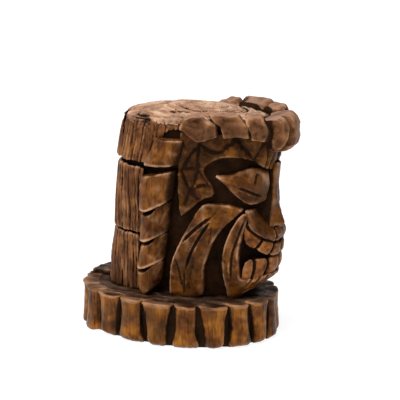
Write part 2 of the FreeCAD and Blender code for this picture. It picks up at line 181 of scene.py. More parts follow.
def cut(points, u, v, width, depth, taper=True):
    """Depth of a V-shaped knife cut along a line, running out at its ends."""
    points = rounded(points, 2, closed=False)
    lengths = [math.dist(a, b) for a, b in zip(points, points[1:])]
    whole = sum(lengths)
    u, v = np.broadcast_arrays(u, v)
    deepest = np.zeros(u.shape)
    gone = 0.0
    for ((u1, v1), (u2, v2)), length in zip(zip(points, points[1:]), lengths):
        du, dv = u2 - u1, v2 - v1
        share = np.clip(((u - u1) * du + (v - v1) * dv) / (length * length + 1e-12), 0, 1)
        away = np.hypot(u - u1 - share * du, v - v1 - share * dv)
        along = (gone + share * length) / whole
        size = np.minimum(1, 5.0 * np.minimum(along, 1 - along) + 0.12) if taper else 1.0
        deepest = np.maximum(deepest, depth * size * np.clip(1 - away / (width * size), 0, 1))
        gone += length
    return deepest


def deepest_cut(cuts, u, v, taper=True):
    """The deepest of several cuts at each point, each given as a line, its half width and its depth."""
    deepest = np.zeros(np.broadcast(u, v).shape)
    for line, width, depth in cuts:
        deepest = np.maximum(deepest, cut(line, u, v, width, depth, taper))
    return deepest


def head_shape(height):
    """Middle, reach and half width of the head's plan oval at each height."""
    heights, *columns = zip(*HEAD_SECTIONS)
    back, front, half = [np.interp(height, heights, column) for column in columns]
    return (back + front) / 2, (back - front) / 2, half


def head_distance(x, y, height):
    """About how far a point stands outside the head's flush surface."""
    spread = 1.2
    shapes = [head_shape(height + shift) for shift in (-spread, 0, spread)]
    middle, reach, half = (sum(part) / 3 for part in zip(*shapes))
    across = np.abs(x) / half
    along = np.abs(y - middle) / reach
    power = HEAD_ROUNDNESS
    size = (across ** power + along ** power + 1e-9) ** (1 / power)
    slope_x = across ** (power - 1) / half
    slope_y = along ** (power - 1) / reach
    slope = size ** (1 - power) * np.hypot(slope_x, slope_y)
    return (size - 1) / np.maximum(slope, 0.01)


def around(x, y, radius=20.0, axis=-22.0, rear_radius=17.0, rear_axis=14.0):
    """Distance round the head from the middle of the face, negative on the figure's right."""
    front = radius * np.arctan2(np.abs(x), np.maximum(axis - y, 1e-6))
    side = radius * math.pi / 2 + (y - axis)
    turned = math.pi / 2 - np.arctan2(np.abs(x), np.maximum(y - rear_axis, 1e-6))
    rear = radius * math.pi / 2 + rear_axis - axis + rear_radius * turned
    return np.where(y < axis, front, np.where(y < rear_axis, side, rear)) * np.where(x < 0, -1, 1)


def behind(x, y, radius=17.0, axis=14.0):
    """Distance round the head from the middle of its back."""
    return radius * np.arctan2(x, np.maximum(y - axis, 1e-6))


# ---- skin ----
def skin(field, low, step):
    """Surface nets: one vertex for each grid cell that the surface crosses, one quad for each edge."""
    solid = field < 0
    count = np.zeros([size - 1 for size in field.shape], np.uint8)
    corners = [(a, b, c) for a in (0, 1) for b in (0, 1) for c in (0, 1)]
    nx, ny, nz = count.shape
    for a, b, c in corners:
        count += solid[a:a + nx, b:b + ny, c:c + nz]
    crossed = (count > 0) & (count < 8)
    cells = np.argwhere(crossed)
    number = np.full(crossed.shape, -1, np.int64)
    number[crossed] = np.arange(len(cells))
    values = {corner: field[tuple((cells + corner).T)] for corner in corners}
    total = np.zeros((len(cells), 3))
    hits = np.zeros(len(cells))
    for corner in corners:
        for axis in range(3):
            if corner[axis]:
                continue
            other = tuple(1 if axis == place else corner[place] for place in range(3))
            start, end = values[corner], values[other]
            crossing = (start < 0) != (end < 0)
            share = np.where(crossing, start / np.where(crossing, start - end, 1), 0)
            point = np.array(corner, float) + share[:, None] * np.eye(3)[axis]
            total += point * crossing[:, None]
            hits += crossing
    points = np.array(low) + (cells + total / hits[:, None]) * step
    quads = []
    for axis in range(3):
        u, v = (axis + 1) % 3, (axis + 2) % 3
        first = np.moveaxis(solid, (axis, u, v), (0, 1, 2))
        change = first[:-1, 1:-1, 1:-1] != first[1:, 1:-1, 1:-1]
        spots = np.argwhere(change) + (0, 1, 1)
        starts_solid = first[tuple(spots.T)]
        index = np.moveaxis(number, (axis, u, v), (0, 1, 2))
        around_edge = ((0, 0), (1, 0), (1, 1), (0, 1))
        ring = np.stack([index[spots[:, 0], spots[:, 1] - a, spots[:, 2] - b] for a, b in around_edge], 1)
        ring[~starts_solid] = ring[~starts_solid][:, ::-1]
        quads.append(ring)
    return points, np.concatenate(quads)


def gathered(index, values, count):
    """Sums values onto the points they belong to."""
    return np.stack([np.bincount(index, part, count) for part in values.T], 1)


def point_normals(points, quads):
    """Vertex normals of a quad mesh."""
    one, two = points[quads[:, 2]] - points[quads[:, 0]], points[quads[:, 3]] - points[quads[:, 1]]
    face = np.cross(one, two)
    normals = sum(gathered(quads[:, corner], face, len(points)) for corner in range(4))
    return normals / np.maximum(np.linalg.norm(normals, axis=1, keepdims=True), 1e-9)


def neighbour_mean(values, quads):
    """Average of each point's neighbours."""
    count = len(values)
    total = np.zeros_like(values)
    hits = np.zeros(count)
    for corner in range(4):
        here, there = quads[:, corner], quads[:, (corner + 1) % 4]
        total += gathered(here, values[there], count) + gathered(there, values[here], count)
        hits += np.bincount(here, minlength=count) + np.bincount(there, minlength=count)
    return total / np.maximum(hits, 1)[:, None]


SHELL = {}      # node: points, quads, how dark the wash and painted shade make it, and how much wear and painted highlight lighten it
CELL = 2 * STEP         # distance between the points of the grid that remembers where wood is
OCCUPIED_LOW = np.array([-34.0, -60.0, -4.0])
OCCUPIED = np.zeros([round(size / CELL) for size in (68, 108, 112)], np.float32)


def sculpt(node, shape, relief=None, marks=None, painted_shade_and_darkening=None, rubbed_light_and_highlight=None, margin=2.0):
    """Makes one piece on a grid round its node: shape is its field, relief moves its skin outward, marks
    are knife cuts pressed into the skin and darkened as dark wash with painted shade, the next field
    darkens it further, mostly as painted shade, and the last lightens it as wear with a painted highlight."""
    low, high = [np.array(corner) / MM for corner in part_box(node)]
    start = np.floor((low - margin - OCCUPIED_LOW) / CELL).astype(int)
    end = np.ceil((high + margin - OCCUPIED_LOW) / CELL).astype(int)
    low = OCCUPIED_LOW + start * CELL
    axes = [low[axis] + STEP * np.arange(2 * (end[axis] - start[axis]) + 1) for axis in range(3)]
    x, y, z = axes[0][:, None, None], axes[1][None, :, None], axes[2][None, None, :]
    field = np.array(np.broadcast_to(shape(x, y, z), [len(axis) for axis in axes]), float)
    for axis in range(3):
        edge = np.moveaxis(field, axis, 0)
        edge[0] = np.maximum(edge[0], STEP)
        edge[-1] = np.maximum(edge[-1], STEP)
    points, quads = skin(field, low, STEP)
    cuts = np.zeros(len(points)) if marks is None else marks(*points.T)
    push = -cuts if relief is None else relief(*points.T) - cuts
    # Painted shade: darker the deeper a point lies under the head's flush surface, in the gaps between
    # pieces and in recesses, fading out at the head's top and left off the plinth.
    buried = ramp(-head_distance(points[:, 0], points[:, 1], points[:, 2] - TOP), *PAINTED_SHADE_SETS_IN)
    dark = 0.85 * buried * ramp(points[:, 2] - TOP, 75, 72) * (points[:, 2] > TOP)
    dark += 0 if painted_shade_and_darkening is None else painted_shade_and_darkening(*points.T)
    # Knife cuts and pushed-in relief darken too: the dark wash with painted shade in the cuts and crevices.
    dark += np.clip(1.1 * cuts - 0.3, 0, 0.6) + np.clip(-0.8 * push - 0.3, 0, 0.4)
    # Lighter where the wood is rubbed: wear with a painted highlight.
    bright = 0 if rubbed_light_and_highlight is None else rubbed_light_and_highlight(*points.T)
    points = points + point_normals(points, quads) * push[:, None]
    SHELL[node] = (points, quads, dark, bright)
    inside = (field[::2, ::2, ::2] < 0).astype(np.float32)
    ends = np.minimum(start + inside.shape, OCCUPIED.shape)
    begin = np.maximum(start, 0)
    window = tuple(slice(first, last) for first, last in zip(begin, ends))
    part = tuple(slice(first - own, last - own) for first, last, own in zip(begin, ends, start))
    OCCUPIED[window] = np.maximum(OCCUPIED[window], inside[part])


# ---- wood relief ----
def knife_facets(x, y, z, size, depth, seed):
    """Slightly creased flats that a knife leaves."""
    lumps = noise(x / size, y / size, z / size, seed)
    small = noise(x / 1.7, y / 1.7, z / 1.7, seed + 7)
    return depth * (0.6 - 1.6 * np.abs(lumps)) + 0.06 * small


def upright_grain(ring, z, depth, seed):
    """Long splits that run up and down, with finer fibres between them."""
    zero = ring * 0
    wander = 1.3 * noise(ring / 8, z / 11, zero, seed) + 0.35 * noise(ring / 2.5, z / 5, zero, seed + 5)
    comb = (ring + wander) / 1.9
    chosen = 0.55 + 0.45 * noise(np.round(comb) * 1.37, z / 30, zero, seed + 1)
    wide = thin(comb - np.round(comb), 3.6) ** 1.4 * chosen
    fine = thin(noise((ring + wander) / 0.8, z / 15, zero, seed + 2), 3.4)
    strips = noise((ring + wander) / 1.6, z / 60, zero, seed + 3)
    return 0.4 * depth * strips - depth * wide - 0.3 * depth * fine


# ---- plinth ----
def rim_distance(x, y):
    """About how far a point stands outside the plinth's oval rim."""
    across, along = x / RIM_HALF_WIDTH, y / RIM_HALF_LENGTH
    size = np.hypot(across, along) + 1e-9
    slope = np.hypot(across / RIM_HALF_WIDTH, along / RIM_HALF_LENGTH) / size
    return (size - 1) / np.maximum(slope, 0.01)


RIM_TURN = np.linspace(0, math.tau, 721)
RIM_POINTS = np.stack([RIM_HALF_WIDTH * np.cos(RIM_TURN), RIM_HALF_LENGTH * np.sin(RIM_TURN)], 1)
# Length of the rim from the first of these points to each of them.
RIM_RUN = np.concatenate([[0], np.cumsum(np.linalg.norm(np.diff(RIM_POINTS, axis=0), axis=1))])


def build_slab():
    def shape(x, y, z):
        wall = rim_distance(x, y) + STAVE_DEPTH - 1.2
        return carved(wall, (z - TOP + 0.1, 0.6), (-z, 0.6))

    def relief(x, y, z):
        scales = noise(x / 3.4, y / 8, z / 8, 3)
        return 0.5 - 1.1 * np.abs(scales) + 0.12 * noise(x / 0.9, y / 1.8, z / 0.9, 5)

    # The slab's side below its top, seen only in the gaps between the staves, is darkened: painted shade.
    sculpt("plinth_slab", shape, relief, painted_shade_and_darkening=lambda x, y, z: ramp(z, TOP - 0.5, TOP - 1.5))


def build_stave(index, lean, swell, drop, proud):
    """A block of the rim: the even ones are wide and taper downward, the others flare at the foot."""
    share = math.tau / STAVE_COUNT
    ends = np.interp([(index - 1) * share, (index + 1) * share], RIM_TURN, RIM_RUN, period=math.tau)
    whole = RIM_RUN[-1]
    size = (ends[1] - ends[0]) % whole / STAVE_PAIR
    middle = np.interp(index * share, RIM_TURN, RIM_RUN)

    def shape(x, y, z):
        angle = np.arctan2(y / RIM_HALF_LENGTH, x / RIM_HALF_WIDTH) % math.tau
        place = np.interp(angle, RIM_TURN, RIM_RUN)
        place = (place - middle + whole / 2) % whole - whole / 2
        level = np.clip(z / TOP, 0, 1)
        outside = rim_distance(x, y)
        inner = ramp(-outside, 0.8, 3.6) * ramp(level, 0.55, 1)
        if index % 2 == 0:
            half = STAVE_HALF + 2.7 * level ** 1.7 + 0.5 * (1 - level) ** 6 + swell
        else:
            half = STAVE_HALF + 0.9 * level + 3.4 * (1 - level) ** 3.6 - swell
        walls = np.abs(place - lean * (level - 0.6)) - (half * size + 0.8 * inner)
        aside = (place / (half * size)) ** 2
        bulge = np.clip(1 - aside, 0, 1)
        flare = 0.9 * (1 - level) ** 1.6 + 0.35 * ramp(level, 0.8, 1) + 1.4 * ramp(y, 20, 36)
        face = outside - flare - bulge + 1.05 - 0.5 * proud
        arch = (0.5 + drop) * aside * ramp(outside, -3, 0)
        arch = arch + 0.9 * ramp(outside, -3, 0.5) * ramp(y, 36, 26)
        block = carved(walls, (face, 1), (-outside - STAVE_DEPTH, 0.4), (z - TOP - 0.1 - 0.3 * drop, 0.5))
        return smooth_max(block, arch - z, 2.6 - 1.6 * ramp(y, 26, 34))

    def relief(x, y, z):
        top = ramp(z, TOP - 1, TOP - 0.4)
        fibre = 0.16 * thin(noise(x, y, z / 12, index + 20), 2.2)
        flat = noise(x / 3.4, y / 8, z / 8, 3)
        facets = knife_facets(x, y, z, 4.2, 0.2, index + 40)
        return (facets - fibre) * (1 - top) + top * (0.4 - 0.9 * np.abs(flat))

    def painted_shade_and_darkening(x, y, z):
        # The staves' inner parts below the top, deep in the gaps between them, are darkened: painted shade.
        return 0.8 * ramp(-rim_distance(x, y), 0.9, 2.4) * ramp(z, TOP - 0.3, TOP - 0.9)

    def rubbed_light_and_highlight(x, y, z):
        # A light band just under the rim's top edge, on the outer face: wear with a painted highlight.
        return 0.8 * ramp(np.abs(z - TOP + 0.8), 0.7, 0.2) * ramp(rim_distance(x, y), -0.9, -0.3)

    sculpt("plinth_stave_%02d" % (index + 1), shape, relief, painted_shade_and_darkening=painted_shade_and_darkening, rubbed_light_and_highlight=rubbed_light_and_highlight, margin=1.8)


def build_rear_step():
    low, high = [np.array(corner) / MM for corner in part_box("rear_step")]

    def shape(x, y, z):
        sides = np.maximum(low[0] - x, x - high[0]) + 0.4 * np.sin(y)
        faces = np.maximum(TOP - 0.2 - z, z - high[2] + 0.05 * (y - 20))
        head = -head_distance(x, y, z - TOP) - 0.6
        return carved(rim_distance(x, y) - 0.2, (head, 0.8), (sides, 1), (-y, 0.5), (faces, 1))

    sculpt("rear_step", shape, lambda x, y, z: knife_facets(x, y, z, 4, 0.35, 9))


# ---- head ----
FOREHEAD = rounded([                    # side view, y and height over the plinth
    (-5.4, 35), (-4.6, 52), (-7.4, 80), (-70, 80), (-70, 54), (-43.4, 54.2), (-41, 56.4),
    (-38.6, 60.2), (-35, 62.6), (-29, 63.3), (-23.4, 62.2), (-19.6, 60.2), (-16.8, 57.4), (-18, 54.6),
    (-21.4, 49.6), (-22, 46), (-16, 44), (-12.3, 40.4), (-8.5, 37),
], 1)
FOREHEAD_LINES = (
    ((-8, 56.8), (-10.6, 62.8), (-15.7, 67.9)),
    ((-15.7, 68.4), (-19, 66.2), (-23.5, 64.5), (-28.9, 69.3), (-31.2, 71.8)),
    ((-31.2, 71.8), (-33.4, 68.4), (-36.1, 64.7), (-37.6, 61.8)),
    ((-37.2, 61.6), (-39.2, 65.2), (-41.6, 70)),
    ((-15.4, 66.8), (-14.3, 62.6), (-14.7, 57), (-13.4, 52), (-10.6, 47.4), (-8.2, 41.4)),
    ((-7.8, 56.8), (-11, 57.9), (-14.7, 57.4), (-17.2, 53.6), (-20.4, 50)),
    ((-7.4, 56.4), (-8.4, 51.4), (-11, 47.4), (-14.8, 43.6)),
    ((-16.8, 50.8), (-13.8, 49.4), (-10.8, 47.4)),
)
FRONT_LINES = (                         # distance round from the middle of the face, and height
    ((0, 71), (0.6, 62), (-0.4, 54)),
    ((3.4, 66), (5.6, 60), (4.4, 54.8)),
    ((8.6, 70), (7.4, 62), (8.6, 55.6)),
)
MOUTH = rounded([
    (-70, 16), (-70, 22.6), (-44, 22.6), (-38.6, 26), (-33.8, 31.6), (-31.6, 26), (-30.6, 18),
    (-31.2, 10.5), (-36.6, 15.6),
], 1)


def core_height(y, height):
    """Relief of the head block in side view: recesses, forehead panel and mouth."""
    panel = outline_distance(FOREHEAD, y, height)
    level = -3.5 + 2.9 * ramp(-panel, -0.5, 0.9)
    mouth = outline_distance(MOUTH, y, height)
    hollow = outline_distance(((-36, 42.6), (-42, 43.4), (-43.4, 33), (-38.1, 37)), y, height)
    return level - 4.4 * ramp(-mouth, -0.4, 1.4) - 1.6 * ramp(-hollow, -1, 1)


def build_core():
    def shape(x, y, z):
        height = z - TOP
        body = head_distance(x, y, height) - core_height(y, height)
        return carved(body, (height - CORE_TOP, 0.6), (-height - 0.4, 0.4))

    def relief(x, y, z):
        return knife_facets(x, y, z, 3, 0.3, 15) + 0.1 * noise(x / 1.2, y / 1.2, z / 1.6, 17)

    def marks(x, y, z):
        height = z - TOP
        panel = ramp(-outline_distance(FOREHEAD, y, height), 0, 1)
        sides = deepest_cut([(line, 2.1, 0.68) for line in FOREHEAD_LINES], y, height, taper=False)
        ring = np.abs(around(x, y))
        front = deepest_cut([(line, 1.1, 0.6) for line in FRONT_LINES], ring, height, taper=False)
        return panel * np.maximum(sides * (y > -42.5), front)

    sculpt("head_core", shape, relief, marks)


def dome_height(x, y):
    """Height of the crown's dome over the plinth."""
    return 60.6 + 20.6 * np.sqrt(np.clip(1 - (x / 29) ** 2 - ((y + 8) / 52) ** 2, 0.02, 1))


RING_SPACING = 5.6
DEEPEST_TEAR = 1.7


def end_grain(x, y):
    """Torn growth rings and radial checks of the sawn top, as a depth."""
    reach = np.hypot(x * 1.5, y + 12)
    zero = x * 0
    warp = 5 * noise(x / 11, y / 15, zero, 31) + noise(x / 4, y / 8, zero, 32)
    ring = (reach + warp) / RING_SPACING
    step = ring - np.floor(ring)
    torn = noise(x / 8, y / 12, np.floor(ring) * 1.7, 33)
    flake = np.clip(0.55 + 1.7 * torn, 0, 1)
    groove = thin(step - 0.08, 9)
    fine = thin(noise((reach + warp) / 0.85, noise(x / 6, y / 6, zero, 36), zero, 34), 3.6)
    strip = noise(x / 2.6 + 0.4 * noise(x / 6, y / 9, zero, 38), y / 17, zero, 37)
    torn_strips = np.clip(1.3 * np.abs(strip) + 0.4 * strip, 0, 1) ** 1.5
    torn_strips = torn_strips * ramp(np.abs(x) + 0.3 * np.clip(y - 8, 0, 20), 5, 9)
    angle = np.arctan2(x * 1.9, y + 12)
    check = thin(noise(angle * 3.4 + 0.2 * warp, reach / 13, zero, 35), 9) * ramp(reach, 6, 18)
    depth = flake * (1.1 * step + 0.6 * groove + 0.6 * check) + 0.8 * torn_strips + 0.3 * fine
    return np.minimum(depth, DEEPEST_TEAR)


def build_crown():
    def shape(x, y, z):
        height = z - TOP
        top = (height - dome_height(x, y)) * 0.92
        return carved(head_distance(x, y, height) + CROWN_INSET, (top, 1), (CROWN_FOOT - height, 0.5))

    def relief(x, y, z):
        return 0.35 - 0.95 * end_grain(x, y) + 0.08 * noise(x / 0.9, y / 0.9, z / 0.9, 41)

    def painted_shade_and_darkening(x, y, z):
        # The deepest tears are darkened as painted shade, and the cap under the band's strands gets a
        # painted shadow.
        out = head_distance(x, y, z - TOP)
        painted_shadow_under_band = ramp(out, -10, -8.4) * ramp(y, -15, -19)
        return 0.6 * np.clip(end_grain(x, y) - 0.9, 0, 0.6) + 0.4 * painted_shadow_under_band

    def rubbed_light_and_highlight(x, y, z):
        # The untorn tops of the ridges are lightened: wear with a painted highlight.
        return 0.8 * ramp(end_grain(x, y), 0.35, 0.1)

    sculpt("crown_cap", shape, relief, painted_shade_and_darkening=painted_shade_and_darkening, rubbed_light_and_highlight=rubbed_light_and_highlight)


def build_bark_plate(tier, side):
    """A plate with a ragged lower end that stands over the tier below."""
    node = "bark_%s_%s" % (tier, side)
    foot, top, proud, taper, grain_depth = BARK_TIERS[tier]
    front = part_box(node)[0][1] / MM - 1
    seed = 50 + 3 * len(tier) + {"right": 0, "rear": 1, "left": 2}[side]

    def shape(x, y, z):
        height = z - TOP
        level = np.clip((height - foot) / (top - foot), 0, 1)
        swell = proud + 0.4 * np.sin(level * math.pi) - taper * level
        ragged = 0.2 * noise(around(x, y) / 2.6, x * 0, y * 0, seed)
        plate = smooth_max(head_distance(x, y, height) - swell, foot + ragged - height, 0.9)
        if tier == "upper":
            rim = (height - dome_height(x, y) + 0.2) * 0.85
            hole = 1 - np.hypot((y + 5.4) / 6, (height - 70) / 3.2)
            plate = carved(plate, (rim, 1.6), (3.2 * hole, 1))
        else:
            plate = smooth_max(plate, height - top + ragged, 0.7)
        seam = 22.2 + 0.35 * noise(z / 5, z * 0, z * 0, seed + 2)
        gap = 0.12 + 0.5 * ramp(height, 72, 76)
        if side == "rear":
            plate = smooth_max(plate, seam + gap - y, 0.35)
        else:
            behind_braid = braid_place(0, height)[2] + (0.5 if tier == "lower" else -3.4)
            before = np.maximum(front, behind_braid) - y
            own_side = x if side == "right" else -x
            plate = carved(plate, (y - seam + gap, 0.35), (before, 1.2), (own_side, 0.2))
        return smooth_max(plate, -BARK_DEPTH - head_distance(x, y, height), 0.3)

    def relief(x, y, z):
        height = z - TOP
        out = ramp(head_distance(x, y, height), -3.4, -1.8)
        ring = behind(x, y) if side == "rear" else around(x, y)
        lean = 0.14 * (z - 80) * (tier == "upper") * {"right": -1, "rear": 0, "left": 1}[side]
        grain = upright_grain(ring + lean, z, grain_depth, seed)
        over = ramp(height, 71.5, 76.5)
        lumps = 0.2 * noise(x / 5, y / 5, z / 8, seed)
        return grain * out * (1 - over) - over * 0.8 * end_grain(x, y) + lumps

    def painted_shade_and_darkening(x, y, z):
        # The lower tier is darker all over, unevenly.
        return (0.14 + 0.12 * noise(x / 6, y / 6, z / 9, seed + 9)) * (tier == "lower")

    sculpt(node, shape, relief, painted_shade_and_darkening=painted_shade_and_darkening, margin=1.6)


# ---- braid ----
BRAID_LINE = (                          # height, middle and half width
    (-8, 10.6, 4.6), (4, 9.4, 5.2), (9, 8.9, 5.7), (14, 7.8, 5.4), (24, 6.4, 5.8), (36, 5.3, 6.5),
    (47, 4.6, 7.3), (56, 3, 7.4), (64, -0.6, 7), (72, -3, 6.6),
)
BRAID_CUTS = (71.5, 57.4, 36.7, 23, 10.5, -8)    # lower ends of the strands at their rear edge


def braid_place(y, height):
    """Distance behind the braid's middle line, the braid's half width, and where its middle is."""
    heights, places, halves = zip(*BRAID_LINE)
    middle = np.interp(height, heights, places)
    return y - middle, np.interp(height, heights, halves), middle


def above_cut(across, height, level):
    """How far a point is above one of the cuts between two strands, which climb toward the front."""
    front = 2.5 - across
    return height - level - 0.3 * (front + np.sqrt(front * front + 4))


def build_strand(number, side):
    """One twist of a braid. The first ends level, and the last one runs out in a point."""
    upper, lower = BRAID_CUTS[number - 1], BRAID_CUTS[number]

    def above_foot(across, height):
        if number == 1:
            return height - lower - 0.06 * (7 - across)
        return above_cut(across, height, lower)

    def shape(x, y, z):
        height = z - TOP
        across, half, _ = braid_place(y, height)
        over = above_foot(across, height)
        under = -above_cut(across, height, upper)
        if number == 1:
            under = 69.6 - height + 0.25 * ramp(across, 2, 6)
        if number == 2:
            under = 55.6 - height - 0.3 * (across + 5)
        level = np.clip(over / (upper - lower), 0, 1)
        thick = 5.9 + 1.7 * (1 - level) ** 1.3 - 1.2 * level
        width = half + 0.5 * (1 - level)
        aside = (np.abs(x) - head_shape(height)[2] + 2.2) / thick
        rope = (np.abs(aside) ** 2.3 + np.abs(across / width) ** 2.3) ** (1 / 2.3)
        rope = (rope - 1) * np.minimum(thick, width)
        bite = 1.7 * ramp(across, -2.5, 1.5) if number > 2 else 0
        strand = carved(rope, (-under * 0.9 + bite, 0.5), (0.3 - over * 0.9, 0.9))
        if number == 5:
            point = (np.abs(across - 0.6) - 0.9 * (height + 1.4)) * 0.74
            strand = smooth_max(strand, point, 1.2)
        return carved(strand, (-height - 0.3, 0.5), (-SEAT_DEPTH - head_distance(x, y, height), 0.3))

    def relief(x, y, z):
        height = z - TOP
        across = braid_place(y, height)[0]
        fibre = noise((across + 0.3 * height) / 1.4, height / 9, x * 0.05, 70 + number)
        return knife_facets(x, y, z, 5, 0.2, 80 + number) - 0.1 * thin(fibre, 2.6)

    def painted_shade_and_darkening(x, y, z):
        # The strand's front side, turned from the light, darkens toward the front: painted shade.
        return 0.7 * ramp(-braid_place(y, z - TOP)[0], 4.4, 7.4)

    def rubbed_light_and_highlight(x, y, z):
        # A light rim along the strand's lower end, on its rear side: wear with a painted highlight.
        height = z - TOP
        across = braid_place(y, height)[0]
        foot = ramp(above_foot(across, height), 1.7, 0.8)
        return foot * ramp(-across, 6.5, 3.5) * ramp(head_distance(x, y, height), 0, 1.5)

    sculpt("braid_%s_%d" % (side, number), shape, relief, painted_shade_and_darkening=painted_shade_and_darkening, rubbed_light_and_highlight=rubbed_light_and_highlight, margin=2.6)


# ---- headband ----
LEAVES = (                              # side view of the strands: y and height over the plinth
    ((-7.6, 74.6), (-9.4, 79), (-13.6, 81), (-18, 81.2), (-19.6, 79.4), (-24.2, 77.8), (-26, 73.4),
     (-21.6, 71.4), (-15.4, 69.8), (-10.8, 72.6)),
    ((-21.4, 82.4), (-33, 82.6), (-34.6, 80.8), (-37.6, 76.8), (-38.8, 72.4), (-32.2, 73.4), (-26.9, 72.6),
     (-25.8, 77.4), (-23.2, 79.8)),
    ((-34.4, 82.8), (-41.4, 82.4), (-43.4, 77.6), (-44.4, 72.6), (-42.6, 70.8), (-38, 71.8), (-37.3, 76.4),
     (-36.2, 80)),
)


def build_leaf(number, side):
    """A strand of the twisted band round the brow: a slanting block with a flat top that dips inward."""
    outline = LEAVES[number - 1]
    in_front = number == 3
    widening = 0.12 if in_front else 0.22

    def shape(x, y, z):
        height = z - TOP + (1.3 if side == "left" else 0)
        out = head_distance(x, y, height)
        inward = np.clip(2 - out, 0, 12)
        deeper = np.clip(inward - 1, 0, 8)
        edge = outline_distance(outline, y - 0.6 * deeper, height)
        edge = edge + widening * deeper * ramp(height, 75, 78)
        dip = 0.3 * inward * ramp(inward, 0, 6) + in_front * 0.3 * np.clip(np.abs(x) - 14, 0, 8)
        proud = 2.3 + 0.5 * number - 0.22 * np.clip(77 - height, 0, 8)
        leaf = carved(out - proud, (edge, 0.7), (height - LEAF_TOP + dip, 2 if in_front else 0.6))
        if in_front:
            leaf = smooth_max(leaf, 8.8 - np.abs(x) + 0.1 * (height - 76), 0.8)
        return smooth_max(leaf, -LEAF_DEPTH - out, 0.8)

    def relief(x, y, z):
        fibre = noise(x / 1.2, y / 5, z / 1.6, 93)
        return knife_facets(x, y, z, 5.5, 0.45, 90 + number) + 0.25 * fibre

    def painted_shade_and_darkening(x, y, z):
        # Painted shadow along the strand's edges next to the cap, and painted shade on its inner wall, both
        # toward the front; on the front strand, painted shade in the groove beside the knot.
        out = head_distance(x, y, z - TOP)
        inward = np.clip(1 - out, 0, 8)
        edge = outline_distance(outline, y - 0.6 * inward, np.minimum(z - TOP, 79.6)) + widening * inward
        gap = 0.5 * ramp(edge, -0.8, -0.1) * ramp(-out, -1, 0.8) * ramp(y, -14, -18)
        trough = 2.6 * ramp(x, 6, 8)
        painted_shade_inner_wall = 0.75 * ramp(out + 6.6 - trough, 0, -1.2) * ramp(y, -13, -16)
        return gap + painted_shade_inner_wall + in_front * ramp(np.abs(x), 15, 12) * ramp(y, -41.5, -42.8)

    sculpt("headband_leaf_%s_%d" % (side, number), shape, relief, painted_shade_and_darkening=painted_shade_and_darkening, margin=2.8)


def build_knot():
    """The band's three strands over the middle of the brow."""
    def slant(x, z):
        return np.abs(x) + 0.16 * (z - TOP - 74) - 5.2

    def shape(x, y, z):
        height = z - TOP
        block = np.abs(x / 10.2) ** 3 + np.abs((y + 41.6) / 10.4) ** 3 + np.abs((height - 73) / 8.6) ** 3
        block = (block ** (1 / 3) - 1) * 9 + 2.6 * thin(slant(x, z) / 1.7) * ramp(-y, 44, 49)
        top = height - 80.6 + 0.3 * np.clip(y + 47, 0, 12)
        return carved(block, (top, 0.8), (np.abs(x) - 9.6, 1), (y + 37.6, 0.5))

    def relief(x, y, z):
        fibre = noise(x / 1.2, y / 6, z / 6, 98)
        return knife_facets(x, y, z, 4.2, 0.4, 97) - 0.16 * thin(fibre, 2.6)

    def marks(x, y, z):
        return 0.8 * thin(slant(x, z)) * ramp(-y, 43, 48)

    def painted_shade_and_darkening(x, y, z):
        # The knot's side walls beside the band's front strands are darkened: painted shade in the groove
        # between them.
        return 0.75 * ramp(y, -45, -43.4) * ramp(np.abs(x), 8.2, 9)

    sculpt("headband_knot", shape, relief, marks, painted_shade_and_darkening=painted_shade_and_darkening, margin=2.6)


# ---- face ----
# Side-view outlines, as y and height over the plinth, and knife lines with their half width and depth.
EYE = (
    (-21.6, 55.4), (-26.2, 55.6), (-28.8, 56.1), (-33.5, 58.2), (-37.6, 59), (-40.3, 57), (-41.5, 53.3),
    (-41.6, 48.6), (-41.2, 45.6), (-40, 43.5), (-37, 42.6), (-34.6, 43), (-31.4, 45.6), (-28.5, 48.8),
    (-25.8, 52), (-23.3, 54.4),
)
EYE_LINES = (
    (((-31.6, 50.8), (-33.5, 50.2), (-36.2, 48.9), (-38.8, 47), (-40, 45.6)), 0.85, 0.9),
    (((-39.1, 57.2), (-38.6, 54.4), (-38.1, 51.6)), 0.6, 0.75),
    (((-30.6, 56), (-31.6, 53.6), (-33, 51.6)), 0.8, 0.25),
)
CHEEK = (
    (-15.6, 41.6), (-18.9, 42.8), (-26.4, 43), (-30.1, 41.7), (-32.7, 41), (-32.4, 39.8), (-30.7, 38.2),
    (-27.5, 35.1), (-25.2, 32.6), (-22.2, 28.7), (-19.9, 24.6), (-18.3, 19.8), (-16.9, 15.9), (-15.9, 11.5),
    (-14.8, -2), (0, -2), (-0.6, 9), (-1.6, 15.5), (-4.2, 21.4), (-9.4, 31.2),
)
CHEEK_LINES = (
    (((-21.6, 38), (-18, 35.4), (-13.5, 31.5), (-9.9, 28), (-6.4, 24.2)), 1, 1.2),
    (((-20.8, 36.2), (-18.3, 32.7), (-15.1, 27.9), (-12.2, 22.7), (-9.9, 17.6), (-8.2, 11.6)), 0.85, 1.15),
    (((-20.9, 34), (-20, 28.3), (-18.9, 24.6)), 0.6, 0.5),
    (((-23.6, 41.4), (-20.2, 36.4)), 0.6, 0.4),
    (((-2.6, 18.6), (-5.2, 12.9), (-7.2, 2.5)), 0.8, 0.6),
    (((-7.9, 12.6), (-7.3, 0.5)), 0.7, 0.6),
    (((-12.6, 17), (-10.2, 9.4), (-9.4, 1.5)), 1.4, 0.45),
)
UPPER_LIP = (
    (-33.4, 42.6), (-35.8, 42.6), (-37.4, 38.8), (-39.4, 35.9), (-41.8, 33.4), (-44, 31.6), (-70, 31),
    (-70, 25.2), (-44.6, 25.8), (-43.3, 27), (-41, 28.3), (-38.1, 30.5), (-35.4, 33.2), (-34.4, 37),
)
